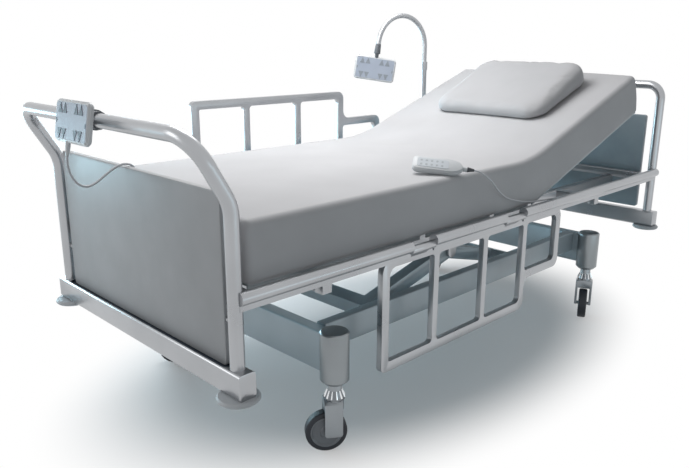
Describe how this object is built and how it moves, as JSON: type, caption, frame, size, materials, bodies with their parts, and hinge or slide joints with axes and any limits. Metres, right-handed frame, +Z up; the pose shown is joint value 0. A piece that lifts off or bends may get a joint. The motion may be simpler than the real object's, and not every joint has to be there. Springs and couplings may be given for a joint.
{
  "type": "hospital bed",
  "caption": "Castored electric hospital bed with an arm lift, raised profiling back section, fold down side guards, panelled end frames, keypads and a corded handset.",
  "frame": {"origin": "on the floor below the middle of the bed's overall box, without its free cords", "axes": "+X toward the head end, +Y toward the side with the gooseneck, +Z up"},
  "size_m": [2.3254, 1.0243, 1.1652],
  "materials": {
    "tube": "satin",
    "undercarriage": "satin",
    "laminate": "matte",
    "mattress": "matte",
    "pillow": "matte",
    "tyre": "matte",
    "hub": "satin",
    "fork": "satin",
    "control_plastic": "satin",
    "membrane": "satin",
    "dark_plastic": "matte",
    "lining": "matte",
    "bumper": "matte",
    "cord": "satin",
    "roller": "matte",
    "sheet": "satin"
  },
  "bodies": {
    "base": {"base_side_near": "undercarriage", "base_side_far": "undercarriage", "base_end_foot": "undercarriage", "base_end_head": "undercarriage"},
    "lift_foot": {"lift_frame_foot": "undercarriage"},
    "lift_head": {"lift_frame_head": "undercarriage", "lift_rollers": "roller"},
    "platform": {"platform_frame": "tube", "platform_ends": "tube", "hinge_lugs": "tube", "rail_blocks": "tube", "lift_channels": "undercarriage", "seat_section": "sheet", "side_rail_near": "tube", "side_rail_far": "tube", "crossbeam_foot": "tube", "crossbeam_head": "tube", "corner_bumpers": "bumper", "foot_tube": "tube", "head_tube": "tube", "foot_panel": "laminate", "head_panel": "laminate", "slot_lining": "lining", "panel_clips": "dark_plastic", "mattress_seat": "mattress", "mattress_back_fold": "mattress", "mattress_thigh_fold": "mattress", "gooseneck_clamp": "dark_plastic", "foot_control": "control_plastic", "foot_membrane": "membrane", "foot_control_clamp": "hub", "handset_cord": "cord", "foot_control_cord": "cord"},
    "back": {"back_section": "sheet", "mattress_back": "mattress", "pillow": "pillow"},
    "thigh": {"thigh_section": "sheet", "mattress_thigh": "mattress", "handset": "control_plastic", "handset_membrane": "membrane"},
    "calf": {"calf_section": "sheet", "mattress_calf": "mattress"},
    "guard_near_leaf": {"guard_near": "tube"},
    "guard_far_leaf": {"guard_far": "tube"},
    "gooseneck": {"gooseneck_post": "tube", "gooseneck_hose": "tube"},
    "gooseneck_keypad": {"gooseneck_panel": "control_plastic", "gooseneck_membrane": "membrane"},
    "fork_foot_near_swivel": {"fork_foot_near": "fork"},
    "wheel_foot_near": {"hub_foot_near": "hub", "tyre_foot_near": "tyre"},
    "fork_foot_far_swivel": {"fork_foot_far": "fork"},
    "wheel_foot_far": {"hub_foot_far": "hub", "tyre_foot_far": "tyre"},
    "fork_head_near_swivel": {"fork_head_near": "fork"},
    "wheel_head_near": {"hub_head_near": "hub", "tyre_head_near": "tyre"},
    "fork_head_far_swivel": {"fork_head_far": "fork"},
    "wheel_head_far": {"hub_head_far": "hub", "tyre_head_far": "tyre"}
  },
  "joints": [
    {"name": "swivel_foot_near", "type": "hinge", "parent": "base", "child": "fork_foot_near_swivel", "pos_m": [-0.67319, -0.4172, 0.18], "axis": [0, 0, 1], "continuous": true},
    {"name": "spin_foot_near", "type": "hinge", "parent": "fork_foot_near_swivel", "child": "wheel_foot_near", "pos_m": [-0.69244, -0.40372, 0.0565], "axis": [-0.5736, -0.8192, 0], "continuous": true},
    {"name": "swivel_foot_far", "type": "hinge", "parent": "base", "child": "fork_foot_far_swivel", "pos_m": [-0.67319, 0.3328, 0.18], "axis": [0, 0, 1], "continuous": true},
    {"name": "spin_foot_far", "type": "hinge", "parent": "fork_foot_far_swivel", "child": "wheel_foot_far", "pos_m": [-0.69527, 0.34084, 0.0565], "axis": [-0.342, -0.9397, 0], "continuous": true},
    {"name": "swivel_head_near", "type": "hinge", "parent": "base", "child": "fork_head_near_swivel", "pos_m": [0.69381, -0.4172, 0.18], "axis": [0, 0, 1], "continuous": true},
    {"name": "spin_head_near", "type": "hinge", "parent": "fork_head_near_swivel", "child": "wheel_head_near", "pos_m": [0.67269, -0.4275, 0.0565], "axis": [0.4384, -0.8988, 0], "continuous": true},
    {"name": "swivel_head_far", "type": "hinge", "parent": "base", "child": "fork_head_far_swivel", "pos_m": [0.69381, 0.3328, 0.18], "axis": [0, 0, 1], "continuous": true},
    {"name": "spin_head_far", "type": "hinge", "parent": "fork_head_far_swivel", "child": "wheel_head_far", "pos_m": [0.71589, 0.34084, 0.0565], "axis": [-0.342, 0.9397, 0], "continuous": true},
    {"name": "lift_arm_foot", "type": "hinge", "parent": "base", "child": "lift_foot", "pos_m": [-0.42419, -0.0422, 0.299], "axis": [0, -1, 0], "range_deg": [-16.5, 35.4]},
    {"name": "platform_level", "type": "hinge", "parent": "lift_foot", "child": "platform", "pos_m": [-0.04919, -0.0422, 0.39703], "axis": [0, -1, 0], "range_deg": [-35.4, 16.5]},
    {"name": "lift_arm_head", "type": "hinge", "parent": "base", "child": "lift_head", "pos_m": [0.28381, -0.0422, 0.299], "axis": [0, 1, 0], "range_deg": [-16.5, 35.4]},
    {"name": "back_raise", "type": "hinge", "parent": "platform", "child": "back", "pos_m": [0.22081, -0.0422, 0.52], "axis": [0, -1, 0], "range_deg": [-19.2, 51], "deforming": ["mattress_back_fold"]},
    {"name": "thigh_raise", "type": "hinge", "parent": "platform", "child": "thigh", "pos_m": [0.00081, -0.0422, 0.52], "axis": [0, 1, 0], "range_deg": [0, 35], "deforming": ["mattress_thigh_fold", "handset_cord"]},
    {"name": "knee_bend", "type": "hinge", "parent": "thigh", "child": "calf", "pos_m": [-0.33919, -0.0422, 0.52], "axis": [0, 1, 0], "range_deg": [-52.5, 0]},
    {"name": "guard_near_swing", "type": "hinge", "parent": "platform", "child": "guard_near_leaf", "pos_m": [0.05081, -0.4767, 0.52], "axis": [-1, 0, 0], "range_deg": [0, 180]},
    {"name": "guard_far_swing", "type": "hinge", "parent": "platform", "child": "guard_far_leaf", "pos_m": [0.05081, 0.3923, 0.52], "axis": [-1, 0, 0], "range_deg": [0, 180]},
    {"name": "gooseneck_swivel", "type": "hinge", "parent": "platform", "child": "gooseneck", "pos_m": [0.65081, 0.3978, 0.56], "axis": [0, 0, -1], "range_deg": [-35, 90]},
    {"name": "keypad_turn", "type": "hinge", "parent": "gooseneck", "child": "gooseneck_keypad", "pos_m": [0.4048, 0.44562, 1.03743], "axis": [-0.1705, 0.0331, -0.9848], "range_deg": [-60, 60]}
  ],
  "couplings": [
    {"joint": "platform_level", "follows": "lift_arm_foot", "ratio": -1},
    {"joint": "lift_arm_head", "follows": "lift_arm_foot", "ratio": 1},
    {"joint": "knee_bend", "follows": "thigh_raise", "ratio": -1.5}
  ]
}
